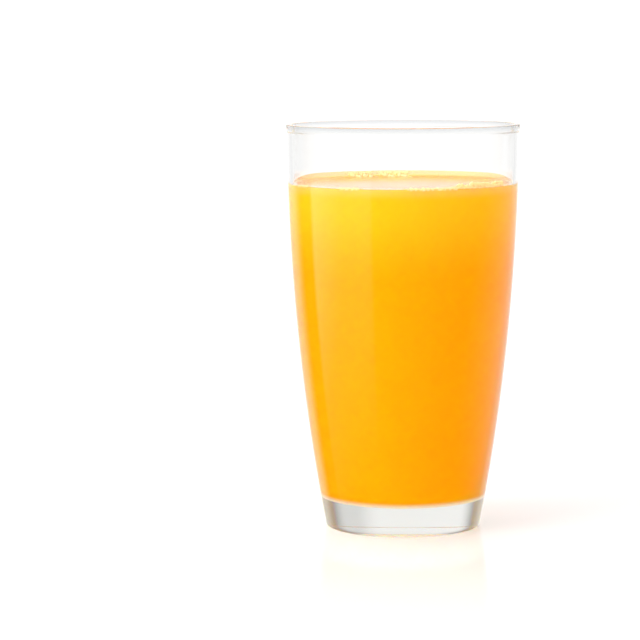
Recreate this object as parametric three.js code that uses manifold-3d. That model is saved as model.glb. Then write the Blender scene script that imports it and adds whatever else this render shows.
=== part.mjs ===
// A glass of orange juice: a tall tumbler with bowed, tapering sides and a thick clear base,
// filled to a little below its rim, with a few patches of froth clinging to the wall.
// Millimetres, +Z up. The origin is the middle of the ring that the glass stands on.
import * as THREE from "three";
import { mergeVertices } from "three/addons/utils/BufferGeometryUtils.js";
import Module from "manifold-3d";

// Tumbler
const HEIGHT = 145.6;
const RIM_RADIUS = 42; // outside of the lip
const LIP_HEIGHT = 2.2; // upright part of the lip, which stands a little proud of the wall
const LIP_NECK = 2.85; // depth below the rim where the lip has run out into the wall
const LIP_ROUNDING = 0.3; // of the lip's two upper edges
const WALL_RADIUS = 41.7; // outside of the wall at rim height, where it stands upright
const FOOT_RADIUS = 28; // where the bowed side would meet the table
const RIM_WALL = 1.8; // wall thickness at the rim
const FLOOR_WALL = 2.8; // wall thickness level with the inside floor
const BASE_THICKNESS = 10.8; // solid glass under the juice
const HEEL_RADIUS = 0.6; // rounding between side and underside
const FLOOR_CORNER = 5; // rounding between inside wall and inside floor
const PUNT_RADIUS = 24.5; // hollow under the base, inside the standing ring
const PUNT_DEPTH = 1.6;

// Juice
const FILL_GAP = 0.3; // between the juice and the glass
const CONTACT_HEIGHT = 126.7; // where the juice meets the wall
const MENISCUS_RISE = 2.2; // how far the edge stands above the level surface
const MENISCUS_REACH = 1; // how fast it falls away from the wall

// Froth: patches of bubbles along the wall, by bearing from +X, from the wall inwards
const FROTH_PATCHES = [
  { from: -62, to: -30, depth: 6.5, bubbles: 26 },
  { from: -88, to: -62, depth: 2.2, bubbles: 13 },
  { from: -123, to: -112, depth: 1.8, bubbles: 5 },
  { from: -156, to: -146, depth: 1.8, bubbles: 4 },
  { from: 108, to: 121, depth: 3.2, bubbles: 9 },
  { from: 87, to: 102, depth: 4.2, bubbles: 12 },
];
const BUBBLE_RADIUS = [0.55, 1.05];
const BUBBLE_SUNK = 0.3; // share of the radius that its middle lies under the surface
const BEARING_STRIDE = 0.618; // steps of the even rule that spreads the bubbles of a patch
const DEPTH_STRIDE = 0.7549;
const SIZE_STRIDE = 0.5698;
const BUBBLE_SIDES = 6;
const BUBBLE_RINGS = 4;

// Fineness of the round forms
const TURN_STEPS = 64;
const SIDE_STEPS = 11;
const ROUND_STEPS = 4;
const LIP_STEPS = 3;
const SURFACE_STEPS = [0.4, 0.9, 1.6, 2.6, 4.5]; // distances from the wall where the surface is drawn

const { degToRad, lerp } = THREE.MathUtils;
const share = (index, stride) => (index * stride) % 1;

// Points of an arc in the plane of radius and height.
function arc(centre, radius, fromAngle, toAngle, steps) {
  return Array.from({ length: steps + 1 }, (_, i) => {
    const angle = lerp(fromAngle, toAngle, i / steps);
    return new THREE.Vector2(centre.x + radius * Math.cos(angle), centre.y + radius * Math.sin(angle));
  });
}

// A side that stands upright at the rim and bows in to a smaller radius lower down: one large arc.
function bowedSide(topRadius, lowRadius, lowHeight) {
  const drop = HEIGHT - lowHeight;
  const taper = topRadius - lowRadius;
  const radius = (drop * drop + taper * taper) / (2 * taper);
  return { radius, centre: new THREE.Vector2(topRadius - radius, HEIGHT) };
}

const angleAtHeight = (side, height) => Math.asin((height - side.centre.y) / side.radius);
const radiusAtHeight = (side, height) => side.centre.x + side.radius * Math.cos(angleAtHeight(side, height));

// The small arc that rounds a bowed side into a level face below it.
function cornerOf(side, faceHeight, radius) {
  const reach = side.radius - radius;
  const height = faceHeight + radius;
  const angle = Math.asin((height - side.centre.y) / reach);
  return { angle, centre: new THREE.Vector2(side.centre.x + reach * Math.cos(angle), height) };
}

const outside = bowedSide(WALL_RADIUS, FOOT_RADIUS, 0);
const insideFloorRadius = radiusAtHeight(outside, BASE_THICKNESS) - FLOOR_WALL;
const inside = bowedSide(WALL_RADIUS - RIM_WALL, insideFloorRadius, BASE_THICKNESS);
const heel = cornerOf(outside, 0, HEEL_RADIUS);
const floorCorner = cornerOf(inside, BASE_THICKNESS, FLOOR_CORNER);

// Inside face of the glass from the axis up to a height, or the same face moved in by a gap.
function insideFace(topHeight, gap) {
  const side = { radius: inside.radius - gap, centre: inside.centre };
  const { centre, angle } = floorCorner;
  const floor = new THREE.Vector2(0, BASE_THICKNESS + gap);
  const corner = arc(centre, FLOOR_CORNER - gap, -Math.PI / 2, angle, ROUND_STEPS);
  const wall = arc(side.centre, side.radius, angle, angleAtHeight(side, topHeight), SIDE_STEPS).slice(1);
  return [floor, ...corner, ...wall];
}

// Turns an outline of radius and height round the Z axis.
function turned(outline) {
  return new THREE.LatheGeometry(outline, TURN_STEPS).rotateX(Math.PI / 2);
}

function tumblerOutline() {
  const puntRadius = (PUNT_RADIUS ** 2 + PUNT_DEPTH ** 2) / (2 * PUNT_DEPTH);
  const puntCentre = new THREE.Vector2(0, PUNT_DEPTH - puntRadius);
  const puntEdge = Math.acos(PUNT_RADIUS / puntRadius);
  const neck = HEIGHT - LIP_NECK;
  const shoulder = HEIGHT - LIP_ROUNDING;
  const outerEdge = new THREE.Vector2(RIM_RADIUS - LIP_ROUNDING, shoulder);
  const innerEdge = new THREE.Vector2(WALL_RADIUS - RIM_WALL + LIP_ROUNDING, shoulder);
  return [
    ...arc(puntCentre, puntRadius, Math.PI / 2, puntEdge, ROUND_STEPS),
    ...arc(heel.centre, HEEL_RADIUS, -Math.PI / 2, heel.angle, ROUND_STEPS),
    ...arc(outside.centre, outside.radius, heel.angle, angleAtHeight(outside, neck), SIDE_STEPS).slice(1),
    new THREE.Vector2(RIM_RADIUS, HEIGHT - LIP_HEIGHT),
    ...arc(outerEdge, LIP_ROUNDING, 0, Math.PI / 2, LIP_STEPS),
    ...arc(innerEdge, LIP_ROUNDING, Math.PI / 2, Math.PI, LIP_STEPS),
    ...insideFace(neck, 0).reverse(),
  ];
}

// Wall of the juice, and how high its surface stands at a distance from that wall.
const juiceRadius = radiusAtHeight(inside, CONTACT_HEIGHT) - FILL_GAP;
const surfaceHeight = (fromWall) =>
  CONTACT_HEIGHT - MENISCUS_RISE * (1 - Math.exp(-fromWall / MENISCUS_REACH));

function juiceOutline() {
  const surface = SURFACE_STEPS.map((d) => new THREE.Vector2(juiceRadius - d, surfaceHeight(d)));
  const middle = new THREE.Vector2(0, surfaceHeight(juiceRadius));
  return [...insideFace(CONTACT_HEIGHT, FILL_GAP), ...surface, middle];
}

// One patch of froth as round bubbles that float half out of the surface, spread by an even rule.
function frothPatch({ from, to, depth, bubbles }) {
  return Array.from({ length: bubbles }, (_, i) => {
    const radius = lerp(...BUBBLE_RADIUS, share(i, SIZE_STRIDE));
    const fromWall = radius + depth * share(i, DEPTH_STRIDE) ** 2;
    const bearing = degToRad(lerp(from, to, share(i, BEARING_STRIDE)));
    const reach = juiceRadius - fromWall;
    const height = surfaceHeight(fromWall) - BUBBLE_SUNK * radius;
    return new THREE.SphereGeometry(radius, BUBBLE_SIDES, BUBBLE_RINGS)
      .rotateX(Math.PI / 2)
      .rotateZ(bearing)
      .translate(reach * Math.cos(bearing), reach * Math.sin(bearing), height);
  });
}

// Joins closed shapes into one body.
const wasm = await Module();
wasm.setup();

function solidOf(geometry) {
  const bare = geometry.clone();
  bare.deleteAttribute("normal");
  bare.deleteAttribute("uv");
  const merged = mergeVertices(bare);
  const vertProperties = new Float32Array(merged.attributes.position.array);
  const triVerts = new Uint32Array(merged.index.array);
  return new wasm.Manifold(new wasm.Mesh({ numProp: 3, vertProperties, triVerts }));
}

function joined(geometries) {
  const mesh = geometries.map(solidOf).reduce((whole, next) => whole.add(next)).getMesh();
  const geometry = new THREE.BufferGeometry();
  geometry.setAttribute("position", new THREE.BufferAttribute(mesh.vertProperties, 3));
  geometry.setIndex(new THREE.BufferAttribute(mesh.triVerts, 1));
  geometry.computeVertexNormals();
  return geometry;
}

function piece(name, geometry, material) {
  const mesh = new THREE.Mesh(geometry, new THREE.MeshStandardMaterial(material));
  mesh.name = name;
  return mesh;
}

const clearGlass = { color: 0xeef3f1, roughness: 0.04, metalness: 0, transparent: true, opacity: 0.35 };
const orangeJuice = { color: 0xffad14, roughness: 0.2, metalness: 0 };

const glassOfJuice = new THREE.Group();
glassOfJuice.add(
  piece("tumbler", turned(tumblerOutline()), clearGlass),
  piece("juice", joined([turned(juiceOutline()), ...FROTH_PATCHES.flatMap(frothPatch)]), orangeJuice),
);

export default glassOfJuice;
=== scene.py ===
"""A glass of orange juice: a clear tumbler, the juice in it, its froth, and a pale table in studio light."""

import math
from typing import NamedTuple

import bmesh
import bpy
import numpy as np
from bpy.props import FloatProperty, FloatVectorProperty, IntProperty, PointerProperty
from mathutils import Matrix, Vector


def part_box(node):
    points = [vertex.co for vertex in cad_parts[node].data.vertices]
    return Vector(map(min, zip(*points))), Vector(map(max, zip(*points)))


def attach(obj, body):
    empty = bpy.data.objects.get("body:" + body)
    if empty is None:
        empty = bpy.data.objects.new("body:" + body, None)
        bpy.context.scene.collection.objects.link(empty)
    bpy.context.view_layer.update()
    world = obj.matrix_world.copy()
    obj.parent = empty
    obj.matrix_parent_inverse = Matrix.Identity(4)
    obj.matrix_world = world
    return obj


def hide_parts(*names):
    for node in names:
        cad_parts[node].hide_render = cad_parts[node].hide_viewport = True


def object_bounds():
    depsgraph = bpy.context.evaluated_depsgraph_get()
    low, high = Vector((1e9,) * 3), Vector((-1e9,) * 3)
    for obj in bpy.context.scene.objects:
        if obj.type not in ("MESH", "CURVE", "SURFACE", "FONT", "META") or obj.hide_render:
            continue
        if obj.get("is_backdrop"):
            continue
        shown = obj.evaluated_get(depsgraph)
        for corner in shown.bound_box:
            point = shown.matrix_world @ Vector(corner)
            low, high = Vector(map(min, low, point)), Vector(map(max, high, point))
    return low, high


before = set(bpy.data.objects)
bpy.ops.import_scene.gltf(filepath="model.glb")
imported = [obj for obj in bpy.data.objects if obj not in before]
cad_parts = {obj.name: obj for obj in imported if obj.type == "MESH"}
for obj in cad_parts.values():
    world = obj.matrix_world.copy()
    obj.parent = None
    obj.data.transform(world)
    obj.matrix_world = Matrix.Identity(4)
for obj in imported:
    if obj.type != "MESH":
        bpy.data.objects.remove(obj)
CAD_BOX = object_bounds()

bl_info = {
    "name": "Glass of Orange Juice",
    "version": (1, 0, 0),
    "blender": (4, 5, 0),
    "location": "3D View > Sidebar > Juice Glass",
    "description": "Models a filled tumbler with froth and sets it on a table in studio light",
    "category": "Add Mesh",
}

MM = 0.001
BODY = "root"
MERGE_DISTANCE = 1e-7
SHARP_EDGE = math.radians(40)
UP = Vector((0, 0, 1))

SIDE_STEPS = 40  # of a bowed side in an outline
CORNER_STEPS = 12
LIP_STEPS = 8
LIP_UNDERSIDE_STEPS = 6
EDGE_STEPS = 16
EDGE_SPAN = 4  # width of the juice's thin edge, as a multiple of its reach
LEVEL_FACE = 0.9  # upward part of a face's normal beyond which it is open surface
LEAST_CLIMB = 0.02  # share of the thin edge's rise that shows at the front
CLIMB_SINES = (-0.3, 0.6)  # sines of the bearings over which the rest of it comes in

GLASS_IOR = 1.5
JUICE_IOR = 1.34
SCATTER_SHARES = (1.0, 0.55, 0.12)  # how far red, green and blue wander, as shares of the scatter

GLASS_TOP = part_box("tumbler")[1]
JUICE_BOTTOM, JUICE_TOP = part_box("juice")
JUICE_GAP = 0.3 * MM  # room that the solids leave between the juice and the glass


def length(name, description, default):
    """A size in metres."""
    return FloatProperty(name=name, description=description, default=default, unit="LENGTH", precision=5)


def turn(name, description, degrees):
    """An angle."""
    return FloatProperty(name=name, description=description, default=math.radians(degrees), subtype="ANGLE")


def colour(name, description, default):
    """A linear colour."""
    return FloatVectorProperty(
        name=name, description=description, default=default, subtype="COLOR", size=3, min=0, max=1
    )


def level(name, description, default):
    """A strength."""
    return FloatProperty(name=name, description=description, default=default, min=0)


class TumblerSettings(bpy.types.PropertyGroup):
    """Sizes and tint of the glass."""

    height: length("Height", "From the table to the top of the rim", GLASS_TOP.z)
    rim_radius: length("Rim Radius", "Outside of the rounded lip", GLASS_TOP.x)
    wall_inset: length("Wall Inset", "How far the wall stands inside the lip", 0.3 * MM)
    lip_rounding: length("Lip Rounding", "Rounding of the lip's two upper edges", 0.3 * MM)
    lip_neck: length("Lip Neck", "Depth below the rim where the lip has run out into the wall", 2.85 * MM)
    lip_lean: turn("Lip Lean", "Steepest lean of the lip's underside", 50)
    foot_radius: length("Foot Radius", "Where the bowed side would meet the table", 28 * MM)
    rim_wall: length("Wall at Rim", "Thickness of the wall at the rim", 1.8 * MM)
    floor_wall: length("Wall at Floor", "Thickness of the wall level with the inside floor", 2.8 * MM)
    base: length("Base Thickness", "Solid glass under the juice", JUICE_BOTTOM.z - JUICE_GAP)
    heel: length("Heel Rounding", "Rounding between side and underside", 0.6 * MM)
    floor_corner: length("Floor Rounding", "Rounding between inside wall and inside floor", 5 * MM)
    punt_radius: length("Hollow Radius", "Shallow hollow under the base", 24.5 * MM)
    punt_depth: length("Hollow Depth", "Depth of the hollow under the base", 1.6 * MM)
    sides: IntProperty(name="Sides", description="Flat sides round the glass", default=160, min=32, max=256)
    clear: colour("Clear", "Colour of the polished face", (0.995, 0.998, 0.997))
    # Painted shade: the lip's upper edge is coloured grey to stand in for the dark line that the rim shows;
    # the glass itself has no grey lip.
    lip_painted_shade: colour("Lip Tone", "Colour of the fire-polished lip's upper edge", (0.73, 0.74, 0.75))
    tint: colour("Tint", "Colour that thick glass takes", (0.899, 0.899, 0.888))
    density: level("Density", "How soon the glass takes its tint, per metre", 45)


class JuiceSettings(bpy.types.PropertyGroup):
    """Level, edge and colours of the juice."""

    contact: length("Contact Height", "Where the juice's thin edge ends on the wall", JUICE_TOP.z)
    rise: length("Edge Rise", "How far the edge climbs the wall above the level surface", 2.2 * MM)
    reach: length("Edge Reach", "How fast the edge falls away from the wall", 1 * MM)
    into_wall: length("Into Wall", "How far the juice reaches into the glass, against air gaps", 0.15 * MM)
    body: colour("Body", "Juice low in the glass", (1.0, 0.385, 0.002))
    # Painted light: the upper body is paler to stand in for the glow of light that enters at the surface.
    upper: colour("Upper Body", "Juice just under the surface, with fine pulp in it", (1.0, 0.50, 0.011))
    surface: colour("Surface", "Open surface", (1.0, 0.34, 0.020))
    # Painted light: the brim is paler still, a painted glow where light enters at the surface by the wall.
    brim: colour("Brim", "Frothy juice where the surface meets the wall", (1.0, 0.54, 0.11))
    brim_fade: length("Brim Fade", "Depth over which the brim passes into the upper body", 4 * MM)
    brim_reach: length("Brim Reach", "How far the brim's colour reaches in over the surface", 12 * MM)
    # Painted light: the pale floor colour is a painted pool of the light that the thick base gathers under
    # the juice.
    floor: colour("Floor", "Juice on the inside floor, lit through the thick base", (1.0, 0.78, 0.56))
    fade: length("Fade", "Depth over which the upper colour passes into the lower", 34 * MM)
    floor_fade: length("Floor Fade", "Height over which the floor colour passes into the lower", 2 * MM)
    edge: colour("Edge", "Pulp in the thin edge of juice on the wall", (1.0, 0.80, 0.48))
    edge_depth: colour("Edge Depth", "Colour that the edge takes as it thickens", (1.0, 0.87, 0.0))
    edge_density: level("Edge Density", "How soon the edge takes that colour, per metre", 220)
    scatter: length("Scatter", "How far light wanders in the juice", 14 * MM)


class FrothSettings(bpy.types.PropertyGroup):
    """Sizes and colour of the bubbles."""

    smallest: length("Smallest", "Radius of the smallest bubble of a patch", 0.55 * MM)
    largest: length("Largest", "Radius of the largest bubble of a patch", 1.05 * MM)
    fine: length("Fine Bubbles", "Radius of the fine bubbles between them", 0.32 * MM)
    film: colour("Film", "Colour of the bubbles", (1.0, 0.78, 0.40))


class StageSettings(bpy.types.PropertyGroup):
    """Camera, table and light."""

    distance: length("Camera Distance", "From the glass's axis to the camera", 0.885)
    height: length("Camera Height", "Height of the camera above the table", 0.179)
    tilt: turn("Camera Tilt", "Downward tilt", 6.72)
    pan: turn("Camera Pan", "Turn to the left", 1.93)
    lens: FloatProperty(name="Lens", description="Focal length in millimetres", default=138.3, min=10)
    table: colour("Table", "Colour of the table", (0.80, 0.80, 0.80))
    backdrop: level("Backdrop", "Brightness of the white background", 1.2)
    through: colour("Studio", "Darkest tone of the studio seen through the glass", (0.58, 0.45, 0.32))
    ground: colour("Ground", "Tone of the table seen through the glass", (0.92, 0.92, 0.92))
    key: level("Key Light", "Watts of the large lamp at the left", 12.4)
    fill: level("Fill Light", "Watts of the lamp in front", 11.4)
    back: level("Back Light", "Watts of the low lamp behind, which lights the juice alone", 9)
    glow: level("Base Glow", "Watts of the light that the thick base gathers under the juice", 0.0055)
    sky: level("Overhead Light", "Strength of the broad light from above", 1.5)


class Side(NamedTuple):
    """The large arc of a bowed side, in the plane of radius and height."""

    radius: float
    centre: Vector

    def angle(self, height):
        return math.asin((height - self.centre.z) / self.radius)

    def at(self, height):
        return self.centre.x + self.radius * math.cos(self.angle(height))

    def moved_out(self, gap):
        return Side(self.radius + gap, self.centre)


class Corner(NamedTuple):
    """The small arc that rounds a bowed side into a level face below it."""

    angle: float
    centre: Vector


def bowed_side(height, top_radius, low_radius, low_height):
    """A side that stands upright at the rim and bows in to a smaller radius lower down."""
    drop = height - low_height
    taper = top_radius - low_radius
    radius = (drop**2 + taper**2) / (2 * taper)
    return Side(radius, Vector((top_radius - radius, 0, height)))


def corner_of(side, face_height, rounding):
    reach = side.radius - rounding
    height = face_height + rounding
    angle = math.asin((height - side.centre.z) / reach)
    return Corner(angle, Vector((side.centre.x + reach * math.cos(angle), 0, height)))


class Outline:
    """A section in the plane of radius and height, drawn on from point to point."""

    def __init__(self, radius, height):
        self.shape = bmesh.new()
        self.first = self.shape.verts.new((radius, 0, height))
        self.end = self.first

    def line_to(self, radius, height):
        self.end = bmesh.ops.extrude_vert_indiv(self.shape, verts=[self.end])["verts"][0]
        self.end.co = (radius, 0, height)

    def arc_to(self, centre, angle, steps):
        """Sweeps the last point round a centre until it bears the given angle from there."""
        arm = self.end.co - centre
        sweep = math.remainder(angle - math.atan2(arm.z, arm.x), math.tau)
        swept = bmesh.ops.spin(
            self.shape, geom=[self.end], cent=centre, axis=(0, -1, 0), angle=sweep, steps=steps
        )
        self.end = next(part for part in swept["geom_last"] if isinstance(part, bmesh.types.BMVert))

    def close(self):
        self.shape.edges.new((self.end, self.first))

    def turned(self, steps):
        """The solid that the section makes when it is turned round the glass's axis."""
        section = self.shape.verts[:] + self.shape.edges[:]
        bmesh.ops.spin(self.shape, geom=section, axis=UP, angle=math.tau, steps=steps, use_merge=True)
        bmesh.ops.remove_doubles(self.shape, verts=self.shape.verts, dist=MERGE_DISTANCE)
        bmesh.ops.recalc_face_normals(self.shape, faces=self.shape.faces)
        return self.shape


class GlassForm:
    """The arcs that the tumbler's and the juice's outlines share."""

    def __init__(self, glass):
        wall_radius = glass.rim_radius - glass.wall_inset
        self.outside = bowed_side(glass.height, wall_radius, glass.foot_radius, 0)
        floor_radius = self.outside.at(glass.base) - glass.floor_wall
        self.inside = bowed_side(glass.height, wall_radius - glass.rim_wall, floor_radius, glass.base)
        self.heel = corner_of(self.outside, 0, glass.heel)
        self.floor_corner = corner_of(self.inside, glass.base, glass.floor_corner)


def shaded(name):
    """A new node material, its nodes and the Principled shader in it."""
    material = bpy.data.materials.new(name)
    material.use_nodes = True
    tree = material.node_tree
    return material, tree, tree.nodes["Principled BSDF"]


def cloudy(tree, scale, detail):
    """Noise on the piece's own coordinates."""
    place = tree.nodes.new("ShaderNodeTexCoord")
    noise = tree.nodes.new("ShaderNodeTexNoise")
    noise.inputs["Scale"].default_value = scale
    noise.inputs["Detail"].default_value = detail
    tree.links.new(place.outputs["Object"], noise.inputs["Vector"])
    return noise.outputs["Fac"]


def ranged(tree, value, low, high, start=0.35, stop=0.65):
    """A value spread over a new range, from the middle range of a noise unless another is given."""
    spread = tree.nodes.new("ShaderNodeMapRange")
    spread.inputs["From Min"].default_value = start
    spread.inputs["From Max"].default_value = stop
    spread.inputs["To Min"].default_value = low
    spread.inputs["To Max"].default_value = high
    tree.links.new(value, spread.inputs["Value"])
    return spread.outputs["Result"]


def toned(tree, value, *stops):
    """Colours that pass into each other as a value grows, each given with its value."""
    values, tones = zip(*stops)
    ramp = tree.nodes.new("ShaderNodeValToRGB")
    ramp.color_ramp.interpolation = "EASE"
    elements = ramp.color_ramp.elements
    while len(elements) < len(stops):
        elements.new(1)
    for element, at, tone in zip(elements, values, tones):
        element.position = (at - values[0]) / (values[-1] - values[0])
        element.color = (*tone, 1)
    tree.links.new(ranged(tree, value, 0, 1, values[0], values[-1]), ramp.inputs["Fac"])
    return ramp.outputs["Color"]


def height_on(tree):
    """Height of a point above the table."""
    place = tree.nodes.new("ShaderNodeTexCoord")
    split = tree.nodes.new("ShaderNodeSeparateXYZ")
    tree.links.new(place.outputs["Object"], split.inputs["Vector"])
    return split.outputs["Z"]


def reach_on(tree):
    """Distance of a point from the glass's axis."""
    place = tree.nodes.new("ShaderNodeTexCoord")
    flat = tree.nodes.new("ShaderNodeVectorMath")
    flat.operation = "MULTIPLY"
    flat.inputs[1].default_value = (1, 1, 0)
    reach = tree.nodes.new("ShaderNodeVectorMath")
    reach.operation = "LENGTH"
    tree.links.new(place.outputs["Object"], flat.inputs[0])
    tree.links.new(flat.outputs["Vector"], reach.inputs[0])
    return reach.outputs["Value"]


def rippled(tree, shader, height, strength, depth):
    """Fine relief on a shader."""
    bump = tree.nodes.new("ShaderNodeBump")
    bump.inputs["Strength"].default_value = strength
    bump.inputs["Distance"].default_value = depth
    tree.links.new(height, bump.inputs["Height"])
    tree.links.new(bump.outputs["Normal"], shader.inputs["Normal"])


def shown_as(tree, output, amount, first, second):
    """Leads a mix of two shader nodes to the output node, more of the second as the amount grows."""
    mix = tree.nodes.new("ShaderNodeMixShader")
    tree.links.new(amount, mix.inputs["Fac"])
    tree.links.new(first.outputs[0], mix.inputs[1])
    tree.links.new(second.outputs[0], mix.inputs[2])
    tree.links.new(mix.outputs["Shader"], tree.nodes[output].inputs["Surface"])


def let_lamps_through(tree, shader):
    """Shadow rays pass the clear shader, so that lamps light what is behind it."""
    path = tree.nodes.new("ShaderNodeLightPath")
    clear = tree.nodes.new("ShaderNodeBsdfTransparent")
    clear.inputs["Color"].default_value = shader.inputs["Base Color"].default_value
    shown_as(tree, "Material Output", path.outputs["Is Shadow Ray"], shader, clear)


def tinted_by_depth(tree, tint, density):
    """Light takes on a tint by how far it goes through the piece."""
    volume = tree.nodes.new("ShaderNodeVolumeAbsorption")
    volume.inputs["Color"].default_value = (*tint, 1)
    volume.inputs["Density"].default_value = density
    tree.links.new(volume.outputs["Volume"], tree.nodes["Material Output"].inputs["Volume"])


def clear_glass(glass):
    """Polished pressed glass, with faint unevenness from the mould and the polish, and a lip painted grey as
    painted shade for the rim's dark line.
    """
    material, tree, shader = shaded("clear_glass")
    shader.inputs["Base Color"].default_value = (*glass.clear, 1)
    neck = glass.height - glass.lip_neck
    # The lip is painted greyer towards the rim: painted shade for the rim's dark line.
    tone = toned(tree, height_on(tree), (neck, glass.clear), (glass.height, glass.lip_painted_shade))
    tree.links.new(tone, shader.inputs["Base Color"])
    tinted_by_depth(tree, glass.tint, glass.density)
    shader.inputs["IOR"].default_value = GLASS_IOR
    shader.inputs["Transmission Weight"].default_value = 1
    polish = cloudy(tree, scale=120, detail=3)
    tree.links.new(ranged(tree, polish, low=0, high=0.02), shader.inputs["Roughness"])
    mould = cloudy(tree, scale=45, detail=1)
    rippled(tree, shader, mould, strength=0.05, depth=0.2 * MM)
    let_lamps_through(tree, shader)
    return material


def scattering_juice(name, juice):
    """Cloudy juice that light wanders in, further in red than in green and blue."""
    material, tree, shader = shaded(name)
    shader.subsurface_method = "RANDOM_WALK"
    shader.inputs["Subsurface Weight"].default_value = 1
    shader.inputs["Subsurface Radius"].default_value = SCATTER_SHARES
    shader.inputs["Subsurface Scale"].default_value = juice.scatter
    shader.inputs["IOR"].default_value = JUICE_IOR
    return material, tree, shader


def juice_against_glass(juice):
    """Where the juice wets the wall there is no gloss of its own: the glass has it."""
    material, tree, shader = scattering_juice("juice_against_glass", juice)
    floor = JUICE_BOTTOM.z - JUICE_GAP
    surface = level_height(juice)
    tone = toned(
        tree,
        height_on(tree),
        # painted pool of light on the inside floor
        (floor, juice.floor),
        (floor + juice.floor_fade, juice.body),
        (surface - juice.fade, juice.body),
        # painted glow, paler towards the surface
        (surface - juice.brim_fade, juice.upper),
        # painted glow at the brim
        (surface, juice.brim),
    )
    tree.links.new(tone, shader.inputs["Base Color"])
    shader.inputs["Specular IOR Level"].default_value = 0
    pulp = cloudy(tree, scale=500, detail=2)
    tree.links.new(ranged(tree, pulp, low=0.4, high=0.6), shader.inputs["Roughness"])
    return material


def juice_surface(juice):
    """The open surface: wet, with faint ripples and pulp just under it."""
    material, tree, shader = scattering_juice("juice_surface", juice)
    wall = JUICE_TOP.x
    # The surface is painted paler towards the wall: the brim's painted glow.
    tone = toned(tree, reach_on(tree), (wall - juice.brim_reach, juice.surface), (wall, juice.brim))
    tree.links.new(tone, shader.inputs["Base Color"])
    pulp = cloudy(tree, scale=500, detail=2)
    tree.links.new(ranged(tree, pulp, low=0.10, high=0.16), shader.inputs["Roughness"])
    rippled(tree, shader, pulp, strength=0.004, depth=0.1 * MM)
    return material


def thin_juice(juice):
    """The edge that climbs the wall, thin enough for light to pass."""
    material, tree, shader = shaded("thin_juice")
    shader.inputs["Base Color"].default_value = (*juice.edge, 1)
    shader.inputs["IOR"].default_value = JUICE_IOR
    shader.inputs["Transmission Weight"].default_value = 0.8
    film = cloudy(tree, scale=300, detail=2)
    tree.links.new(ranged(tree, film, low=0.02, high=0.08), shader.inputs["Roughness"])
    tinted_by_depth(tree, juice.edge_depth, juice.edge_density)
    let_lamps_through(tree, shader)
    return material


def froth_film(froth):
    """Bubbles of juice: pale, wet and slightly clear."""
    material, tree, shader = shaded("froth_film")
    shader.inputs["Base Color"].default_value = (*froth.film, 1)
    shader.inputs["IOR"].default_value = JUICE_IOR
    shader.inputs["Transmission Weight"].default_value = 0.1
    film = cloudy(tree, scale=900, detail=2)
    tree.links.new(ranged(tree, film, low=0.05, high=0.2), shader.inputs["Roughness"])
    let_lamps_through(tree, shader)
    return material


def mesh_of(name, shape):
    """The mesh of a finished shape."""
    data = bpy.data.meshes.new(name)
    shape.to_mesh(data)
    shape.free()
    return data


def add_piece(name, data, materials, node):
    """Makes a finished piece that rides on the glass's body and stands for one of its solids."""
    data.shade_smooth()
    data.set_sharp_from_angle(angle=SHARP_EDGE)
    for material in materials:
        data.materials.append(material)
    piece = bpy.data.objects.new(name, data)
    bpy.context.scene.collection.objects.link(piece)
    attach(piece, BODY)
    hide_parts(node)


def draw_lip_underside(outline, glass):
    """Two equal arcs that carry the wall out to the lip, first hollow and then round."""
    neck = outline.end.co.copy()
    rounding = (glass.rim_radius - neck.x) / (2 * (1 - math.cos(glass.lip_lean)))
    rise = 2 * rounding * math.sin(glass.lip_lean)
    outline.arc_to(neck + Vector((rounding, 0, 0)), math.pi - glass.lip_lean, LIP_UNDERSIDE_STEPS)
    outline.arc_to(Vector((glass.rim_radius - rounding, 0, neck.z + rise)), 0, LIP_UNDERSIDE_STEPS)


def tumbler_shape(glass):
    """The whole glass in one outline, from the middle of its underside round to its inside floor."""
    form = GlassForm(glass)
    hollow_arc = (glass.punt_radius**2 + glass.punt_depth**2) / (2 * glass.punt_depth)
    hollow_centre = Vector((0, 0, glass.punt_depth - hollow_arc))
    neck = glass.height - glass.lip_neck
    shoulder = glass.height - glass.lip_rounding
    inside_lip = glass.rim_radius - glass.wall_inset - glass.rim_wall
    outer_edge = Vector((glass.rim_radius - glass.lip_rounding, 0, shoulder))
    inner_edge = Vector((inside_lip + glass.lip_rounding, 0, shoulder))
    outline = Outline(0, glass.punt_depth)
    outline.arc_to(hollow_centre, math.acos(glass.punt_radius / hollow_arc), CORNER_STEPS)
    outline.line_to(form.heel.centre.x, 0)
    outline.arc_to(form.heel.centre, form.heel.angle, CORNER_STEPS)
    outline.arc_to(form.outside.centre, form.outside.angle(neck - glass.lip_rounding), SIDE_STEPS)
    outline.arc_to(form.outside.centre, form.outside.angle(neck), 1)
    draw_lip_underside(outline, glass)
    outline.line_to(glass.rim_radius, shoulder)
    outline.arc_to(outer_edge, math.pi / 2, LIP_STEPS)
    outline.line_to(inner_edge.x, glass.height)
    outline.arc_to(inner_edge, math.pi, LIP_STEPS)
    outline.line_to(form.inside.at(neck), neck)
    outline.arc_to(form.inside.centre, form.floor_corner.angle, SIDE_STEPS)
    outline.arc_to(form.floor_corner.centre, -math.pi / 2, CORNER_STEPS)
    outline.line_to(0, glass.base)
    return outline.turned(glass.sides)


def level_height(juice):
    return juice.contact - juice.rise


def juice_shape(glass, juice):
    """The juice up to its level surface, reaching just into the glass all round."""
    form = GlassForm(glass)
    wall = form.inside.moved_out(juice.into_wall)
    surface = level_height(juice)
    outline = Outline(0, glass.base - juice.into_wall)
    outline.line_to(form.floor_corner.centre.x, glass.base - juice.into_wall)
    outline.arc_to(form.floor_corner.centre, form.floor_corner.angle, CORNER_STEPS)
    outline.arc_to(wall.centre, wall.angle(surface), SIDE_STEPS)
    outline.line_to(0, surface)
    shape = outline.turned(glass.sides)
    for face in shape.faces:
        face.material_index = int(face.normal.z > LEVEL_FACE)
    return shape


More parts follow.
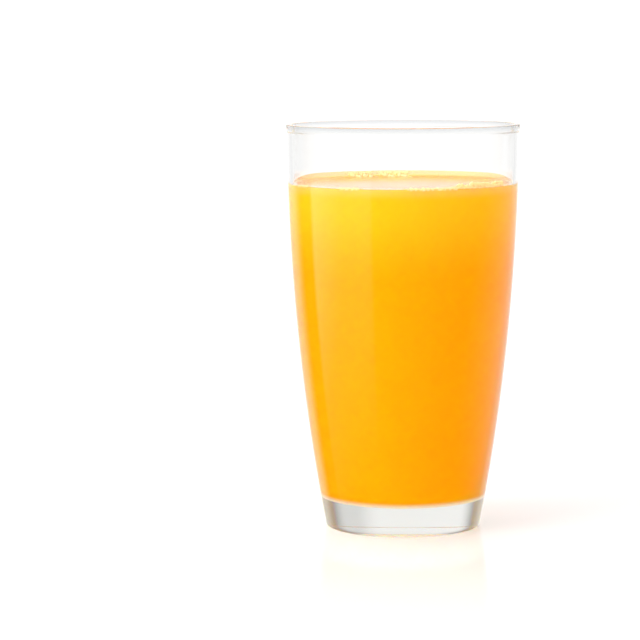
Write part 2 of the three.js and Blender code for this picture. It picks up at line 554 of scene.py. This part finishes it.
def share(index, stride):
    """An even spread of shares from 0 to 1."""
    return (index * stride) % 1


def blended(first, second, amount):
    return first + (second - first) * amount


def climb_at(bearing):
    """How much of the full edge rise shows at a place round the wall: most at the back."""
    start, stop = CLIMB_SINES
    part = min(max((math.sin(bearing) - start) / (stop - start), 0), 1)
    return blended(LEAST_CLIMB, 1, part**2 * (3 - 2 * part))


def edge_shape(glass, juice):
    """The thin ring of juice that climbs the wall above the level surface."""
    wall = GlassForm(glass).inside
    surface = level_height(juice)
    root = surface - juice.into_wall
    outline = Outline(wall.at(root) + juice.into_wall, root)
    outline.line_to(wall.at(juice.contact) + juice.into_wall, juice.contact)
    outline.line_to(wall.at(juice.contact), juice.contact)
    for step in range(1, EDGE_STEPS + 1):
        inwards = EDGE_SPAN * juice.reach * (step / EDGE_STEPS) ** 2
        climb = juice.rise * math.exp(-inwards / juice.reach)
        outline.line_to(wall.at(surface + climb) - inwards, surface + climb)
    outline.line_to(wall.at(root) - EDGE_SPAN * juice.reach, root)
    outline.close()
    shape = outline.turned(glass.sides)
    for vert in shape.verts:
        if vert.co.z > surface:
            vert.co.z = blended(surface, vert.co.z, climb_at(math.atan2(vert.co.y, vert.co.x)))
    return shape


class FrothPatch(NamedTuple):
    """A patch of bubbles along the wall: bearings in degrees from +X, depth from the wall inwards."""

    start: float
    stop: float
    depth: float
    bubbles: int
    pile: float = 0  # how high its beads climb the wall


FROTH_PATCHES = (
    FrothPatch(-62, -30, 6.5 * MM, 26, 1.8 * MM),
    FrothPatch(-88, -62, 2.2 * MM, 13),
    FrothPatch(-123, -112, 1.8 * MM, 5),
    FrothPatch(-156, -146, 1.8 * MM, 4),
    FrothPatch(108, 121, 3.2 * MM, 9),
    FrothPatch(87, 102, 4.2 * MM, 12),
)
BEARING_STRIDE = 0.618  # steps of the even rule that spreads the bubbles of a patch
DEPTH_STRIDE = 0.7549
SIZE_STRIDE = 0.5698
SUNK = 0.3  # share of its radius that a bubble's middle lies under the surface
BEAD_OFF_WALL = 0.6  # share of its radius that a clinging bead's middle stands off the wall
FINE_PER_BUBBLE = 2
FINE_BEARING_STRIDE = 0.4142
FINE_SIZES = (0.6, 1.2)  # as shares of the fine bubbles' radius
FINE_DEPTH = 1.4  # how much further from the wall than the large bubbles they reach
FINE_MARGIN = 3  # degrees by which they go past a patch's ends
BEADS_PER_BUBBLE = 3
BEAD_SIZES = (0.7, 1.25)  # as shares of the smallest bubble's radius


def floating(glass, juice, radius, from_wall, bearing):
    """The middle of a round bubble that floats in the surface near the wall, with its radius."""
    wall = GlassForm(glass).inside
    angle = math.radians(bearing)
    surface = level_height(juice) + climb_at(angle) * juice.rise * math.exp(-from_wall / juice.reach)
    reach = wall.at(surface) - from_wall
    return reach * math.cos(angle), reach * math.sin(angle), surface - SUNK * radius, radius


def froth_bubbles(glass, juice, froth):
    """Every patch's large bubbles, fine ones between them, and beads that cling to the wall."""
    for patch in FROTH_PATCHES:
        for index in range(patch.bubbles):
            radius = blended(froth.smallest, froth.largest, share(index, SIZE_STRIDE))
            from_wall = radius + patch.depth * share(index, DEPTH_STRIDE) ** 2
            bearing = blended(patch.start, patch.stop, share(index, BEARING_STRIDE))
            yield floating(glass, juice, radius, from_wall, bearing)
        for index in range(patch.bubbles * FINE_PER_BUBBLE):
            radius = froth.fine * blended(*FINE_SIZES, share(index, SIZE_STRIDE))
            from_wall = radius + FINE_DEPTH * patch.depth * share(index, DEPTH_STRIDE) ** 2
            along = share(index, FINE_BEARING_STRIDE)
            bearing = blended(patch.start - FINE_MARGIN, patch.stop + FINE_MARGIN, along)
            yield floating(glass, juice, radius, from_wall, bearing)
        for index in range(patch.bubbles * BEADS_PER_BUBBLE):
            radius = froth.smallest * blended(*BEAD_SIZES, share(index, SIZE_STRIDE))
            bearing = blended(patch.start, patch.stop, share(index, BEARING_STRIDE))
            x, y, z, _ = floating(glass, juice, radius, BEAD_OFF_WALL * radius, bearing)
            yield x, y, z + patch.pile * share(index, DEPTH_STRIDE), radius


def froth_mesh(name, bubbles):
    """One mesh of many bubbles, each a copy of one small ball."""
    ball = bmesh.new()
    bmesh.ops.create_uvsphere(ball, u_segments=10, v_segments=7, radius=1)
    ball.verts.index_update()
    points = np.array([vert.co for vert in ball.verts])
    faces = [[vert.index for vert in face.verts] for face in ball.faces]
    ball.free()
    spheres = np.array(list(bubbles))
    places = points * spheres[:, None, 3:] + spheres[:, None, :3]
    copies = range(0, len(spheres) * len(points), len(points))
    copied_faces = [[first + index for index in face] for first in copies for face in faces]
    data = bpy.data.meshes.new(name)
    data.from_pydata(places.reshape(-1, 3), [], copied_faces)
    return data


class Edge(NamedTuple):
    """Degrees over which a panel or wing comes up and goes down again."""

    up: tuple
    down: tuple


class Wing(NamedTuple):
    """A side of the backdrop that stands in less light."""

    bearing: Edge
    height: Edge
    shade: float


class Panel(NamedTuple):
    """A panel of studio light seen from the glass.

    Bearings are degrees from the camera's side, positive to its right; heights are degrees above level.
    """

    bearing: Edge
    height: Edge
    brightness: float
    slant: float = 0  # degrees to the right that its sides move for each degree down


PANELS = (
    Panel(Edge((-108, -101), (-100, -30)), Edge((-23, -4), (-5.6, -4.6)), 1.5),
    Panel(Edge((-108, -101), (-34, -29)), Edge((-30, -4), (-5.6, -4.6)), 0.62),
    Panel(Edge((88, 158), (168, 180)), Edge((-28, -10), (-4, 1)), 0.78, -1.5),
    Panel(Edge((-190, -185), (185, 190)), Edge((18, 42), (91, 95)), 0.8),
)
BACKDROP = Edge((120, 148), (30, 45))  # bearings either side where it starts, heights where it ends
BACKDROP_SLOPE = 0.3  # degrees that its top falls for each degree away from the middle
WINGS = (
    Wing(Edge((-170, -158), (-150, -135)), Edge((-30, -20), (-1.9, -1.2)), 0.24),
    Wing(Edge((60, 90), (154, 170)), Edge((-95, -91), (91, 95)), 0.24),
)
FRONT_BRIGHTNESS = 0.015  # of the studio where it has neither backdrop nor panel
GROUND = (-3, -2)  # heights over which the table passes into the studio, seen through the glass


class NodeSheet:
    """Adds math nodes to a tree, each call giving the new node's output."""

    def __init__(self, tree):
        self.tree = tree

    def fed(self, kind, operation, values):
        node = self.tree.nodes.new(kind)
        node.operation = operation
        for socket, value in zip(node.inputs, values):
            if isinstance(value, bpy.types.NodeSocket):
                self.tree.links.new(value, socket)
            else:
                socket.default_value = value
        return node.outputs[0]

    def math(self, operation, *values):
        return self.fed("ShaderNodeMath", operation, values)

    def vector(self, operation, *values):
        return self.fed("ShaderNodeVectorMath", operation, values)

    def step(self, value, start, stop):
        """A smooth climb from 0 to 1 between two values."""
        node = self.tree.nodes.new("ShaderNodeMapRange")
        node.interpolation_type = "SMOOTHSTEP"
        node.inputs["From Min"].default_value = start
        node.inputs["From Max"].default_value = stop
        self.tree.links.new(value, node.inputs["Value"])
        return node.outputs["Result"]

    def window(self, value, edge):
        """Climbs and falls again as a value grows."""
        falling = self.math("SUBTRACT", 1, self.step(value, *edge.down))
        return self.math("MULTIPLY", self.step(value, *edge.up), falling)

    def field(self, bearing, height, area):
        """The part of the studio where a panel or wing stands."""
        along = self.window(bearing, area.bearing)
        return self.math("MULTIPLY", along, self.window(height, area.height))


def backdrop_light(sheet, bearing, height, brightness):
    """The white backdrop behind the glass, with a top that slopes to both sides and shaded wings."""
    aside = sheet.math("ABSOLUTE", bearing)
    sloping = sheet.math("MULTIPLY_ADD", sheet.math("SUBTRACT", 180, aside), BACKDROP_SLOPE, height)
    below_top = sheet.math("SUBTRACT", 1, sheet.step(sloping, *BACKDROP.down))
    shown = sheet.math("MULTIPLY", sheet.step(aside, *BACKDROP.up), below_top)
    for wing in WINGS:
        kept = sheet.math("MULTIPLY_ADD", sheet.field(bearing, height, wing), -wing.shade, 1)
        shown = sheet.math("MULTIPLY", shown, kept)
    return sheet.math("MULTIPLY", shown, brightness)


def panel_light(sheet, bearing, height, panel):
    leaning = sheet.math("MULTIPLY_ADD", height, panel.slant, bearing)
    return sheet.math("MULTIPLY", sheet.field(leaning, height, panel), panel.brightness)


def add_studio_light(stage):
    """The white background that the camera sees, and the studio that the glass mirrors and shows."""
    world = bpy.data.worlds.new("studio")
    bpy.context.scene.world = world
    world.use_nodes = True
    tree = world.node_tree
    sheet = NodeSheet(tree)
    place = tree.nodes.new("ShaderNodeTexCoord")
    split = tree.nodes.new("ShaderNodeSeparateXYZ")
    tree.links.new(place.outputs["Generated"], split.inputs["Vector"])
    x, y, z = split.outputs
    towards_camera = sheet.math("MULTIPLY", y, -1)
    bearing = sheet.math("DEGREES", sheet.math("ARCTAN2", x, towards_camera))
    height = sheet.math("DEGREES", sheet.math("ARCSINE", z))
    backdrop = backdrop_light(sheet, bearing, height, stage.backdrop)
    light = sheet.math("MAXIMUM", backdrop, FRONT_BRIGHTNESS)
    for panel in PANELS:
        light = sheet.math("MAXIMUM", light, panel_light(sheet, bearing, height, panel))
    path = tree.nodes.new("ShaderNodeLightPath")
    above_ground = sheet.step(height, *GROUND)
    tone = sheet.vector("MULTIPLY_ADD", above_ground, stage.through - stage.ground, stage.ground)
    through = sheet.vector("MULTIPLY", path.outputs["Is Transmission Ray"], tone)
    studio = tree.nodes["Background"]
    tree.links.new(sheet.vector("MAXIMUM", light, through), studio.inputs["Color"])
    studio.inputs["Strength"].default_value = 1
    plain = tree.nodes.new("ShaderNodeBackground")
    plain.inputs["Color"].default_value = (1, 1, 1, 1)
    plain.inputs["Strength"].default_value = stage.backdrop
    shown_as(tree, "World Output", path.outputs["Is Camera Ray"], studio, plain)


class Lamp(NamedTuple):
    """A soft oval lamp, in metres."""

    name: str
    place: Vector
    aim: Vector
    size: tuple


KEY_LAMP = Lamp("key_lamp", Vector((-0.9, -0.5, 0.35)), Vector((0, 0, 0.07)), (0.8, 0.6))
FILL_LAMP = Lamp("fill_lamp", Vector((0.6, -1.1, 0.3)), Vector((0, 0, 0.07)), (0.8, 0.6))
BACK_LAMP = Lamp("back_lamp", Vector((0, 1, 0.06)), Vector((0, 0, 0.06)), (0.8, 0.1))
BASE_GLOW = Lamp("base_glow", Vector((0, 0, 3 * MM)), Vector((0, 0, 0.1)), (50 * MM, 50 * MM))
OVERHEAD_AIM = Vector((0.3, -0.2, -1))
OVERHEAD_SPREAD = math.radians(80)


def add_light(data, aim):
    """A light that the glass doesn't mirror."""
    light = bpy.data.objects.new(data.name, data)
    bpy.context.scene.collection.objects.link(light)
    light.rotation_euler = aim.to_track_quat("-Z", "Y").to_euler()
    light.visible_camera = False
    light.visible_glossy = False
    light.visible_transmission = False
    return light


def add_lamp(lamp, watts):
    data = bpy.data.lights.new(lamp.name, "AREA")
    data.shape = "ELLIPSE"
    data.size, data.size_y = lamp.size
    data.energy = watts
    light = add_light(data, lamp.aim - lamp.place)
    light.location = lamp.place
    return light


def add_overhead_light(strength):
    """A broad, even light from above, so that the table is as bright far off as near by."""
    data = bpy.data.lights.new("overhead", "SUN")
    data.energy = strength
    data.angle = OVERHEAD_SPREAD
    add_light(data, OVERHEAD_AIM)


def light_only(light, names):
    """Keeps a light to the named pieces."""
    lit = bpy.data.collections.new(light.name + "_lights")
    for name in names:
        lit.objects.link(bpy.data.objects[name])
    light.light_linking.receiver_collection = lit


TABLE_RADIUS = 1.6
TABLE_DROP = 0.1 * MM  # room between the table and the glass's standing ring
TABLE_SWEEP = (0.16, 0.6)  # distances from the glass over which the table passes into the background


def table_top(stage):
    """Pale and faintly glossy near the glass, and far off as white as the background to the camera."""
    material, tree, shader = shaded("table_top")
    shader.inputs["Base Color"].default_value = (*stage.table, 1)
    shader.inputs["Specular IOR Level"].default_value = 0.12
    grain = cloudy(tree, scale=30, detail=2)
    tree.links.new(ranged(tree, grain, low=0.08, high=0.1), shader.inputs["Roughness"])
    sheet = NodeSheet(tree)
    path = tree.nodes.new("ShaderNodeLightPath")
    far_off = sheet.step(reach_on(tree), *TABLE_SWEEP)
    white = tree.nodes.new("ShaderNodeEmission")
    white.inputs["Strength"].default_value = stage.backdrop
    amount = sheet.math("MULTIPLY", far_off, path.outputs["Is Camera Ray"])
    shown_as(tree, "Material Output", amount, shader, white)
    return material


def add_table(stage):
    """A wide table. The glass doesn't mirror it: the panels of light stand for it there."""
    shape = bmesh.new()
    bmesh.ops.create_circle(shape, cap_ends=True, segments=96, radius=TABLE_RADIUS)
    bmesh.ops.translate(shape, verts=shape.verts, vec=-TABLE_DROP * UP)
    data = mesh_of("table", shape)
    data.materials.append(table_top(stage))
    table = bpy.data.objects.new("table", data)
    bpy.context.scene.collection.objects.link(table)
    table.visible_glossy = False
    table.visible_transmission = False
    table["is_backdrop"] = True


SENSOR_WIDTH = 36  # millimetres


def add_camera(stage):
    """The photograph's viewpoint, panned about its own upright so that the glass stays plumb."""
    data = bpy.data.cameras.new("camera")
    data.lens = stage.lens
    data.sensor_width = SENSOR_WIDTH
    camera = bpy.data.objects.new("camera", data)
    bpy.context.scene.collection.objects.link(camera)
    camera.matrix_world = (
        Matrix.Translation((0, -stage.distance, stage.height))
        @ Matrix.Rotation(math.pi / 2 - stage.tilt, 4, "X")
        @ Matrix.Rotation(stage.pan, 4, "Y")
    )
    bpy.context.scene.camera = camera


LIGHT_BOUNCES = 20  # enough for light that is mirrored many times inside the thick base


def set_light_paths(scene):
    scene.view_settings.view_transform = "Standard"
    scene.cycles.use_denoising = True
    scene.cycles.max_bounces = LIGHT_BOUNCES
    scene.cycles.glossy_bounces = LIGHT_BOUNCES
    scene.cycles.transmission_bounces = LIGHT_BOUNCES
    scene.cycles.transparent_max_bounces = LIGHT_BOUNCES


class JUICE_OT_add_tumbler(bpy.types.Operator):
    """Model the clear tumbler"""

    bl_idname = "juice_glass.add_tumbler"
    bl_label = "Add Tumbler"
    bl_options = {"REGISTER", "UNDO"}

    def execute(self, context):
        glass = context.scene.juice_tumbler
        data = mesh_of("tumbler_glass", tumbler_shape(glass))
        add_piece("tumbler_glass", data, [clear_glass(glass)], "tumbler")
        return {"FINISHED"}


class JUICE_OT_add_juice(bpy.types.Operator):
    """Fill the tumbler with juice up to its thin edge on the wall"""

    bl_idname = "juice_glass.add_juice"
    bl_label = "Add Juice"
    bl_options = {"REGISTER", "UNDO"}

    def execute(self, context):
        glass = context.scene.juice_tumbler
        juice = context.scene.juice_fill
        finishes = [juice_against_glass(juice), juice_surface(juice)]
        body = mesh_of("juice_body", juice_shape(glass, juice))
        add_piece("juice_body", body, finishes, "juice")
        edge = mesh_of("juice_edge", edge_shape(glass, juice))
        add_piece("juice_edge", edge, [thin_juice(juice)], "juice")
        return {"FINISHED"}


class JUICE_OT_add_froth(bpy.types.Operator):
    """Float patches of bubbles along the wall"""

    bl_idname = "juice_glass.add_froth"
    bl_label = "Add Froth"
    bl_options = {"REGISTER", "UNDO"}

    def execute(self, context):
        scene = context.scene
        froth = scene.juice_froth
        data = froth_mesh("froth", froth_bubbles(scene.juice_tumbler, scene.juice_fill, froth))
        add_piece("froth", data, [froth_film(froth)], "juice")
        return {"FINISHED"}


class JUICE_OT_add_stage(bpy.types.Operator):
    """Set the table, the studio light and the camera"""

    bl_idname = "juice_glass.add_stage"
    bl_label = "Add Stage"
    bl_options = {"REGISTER", "UNDO"}

    def execute(self, context):
        stage = context.scene.juice_stage
        add_table(stage)
        add_studio_light(stage)
        add_lamp(KEY_LAMP, stage.key)
        add_lamp(FILL_LAMP, stage.fill)
        light_only(add_lamp(BACK_LAMP, stage.back), ("juice_body", "juice_edge", "froth"))
        add_lamp(BASE_GLOW, stage.glow)
        add_overhead_light(stage.sky)
        add_camera(stage)
        set_light_paths(context.scene)
        return {"FINISHED"}


class JUICE_PT_glass(bpy.types.Panel):
    """The steps that make the glass of juice, with their sizes and colours"""

    bl_idname = "JUICE_PT_glass"
    bl_label = "Glass of Orange Juice"
    bl_space_type = "VIEW_3D"
    bl_region_type = "UI"
    bl_category = "Juice Glass"

    def draw(self, context):
        for operator, holder in STEPS:
            box = self.layout.box()
            box.operator(operator.bl_idname)
            settings = getattr(context.scene, holder)
            for name in settings.__annotations__:
                box.prop(settings, name)


HOLDERS = {
    "juice_tumbler": TumblerSettings,
    "juice_fill": JuiceSettings,
    "juice_froth": FrothSettings,
    "juice_stage": StageSettings,
}
STEPS = (
    (JUICE_OT_add_tumbler, "juice_tumbler"),
    (JUICE_OT_add_juice, "juice_fill"),
    (JUICE_OT_add_froth, "juice_froth"),
    (JUICE_OT_add_stage, "juice_stage"),
)
CLASSES = (*HOLDERS.values(), *(operator for operator, _ in STEPS), JUICE_PT_glass)


def register():
    for cls in CLASSES:
        bpy.utils.register_class(cls)
    for holder, settings in HOLDERS.items():
        setattr(bpy.types.Scene, holder, PointerProperty(type=settings))


def unregister():
    for holder in HOLDERS:
        delattr(bpy.types.Scene, holder)
    for cls in reversed(CLASSES):
        bpy.utils.unregister_class(cls)


def main():
    register()
    bpy.ops.juice_glass.add_tumbler()
    bpy.ops.juice_glass.add_juice()
    bpy.ops.juice_glass.add_froth()
    bpy.ops.juice_glass.add_stage()
    boxes = {"cad": CAD_BOX, "visual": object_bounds()}
    {name: [list(corner) for corner in box] for name, box in boxes.items()}


if __name__ == "__main__":
    main()
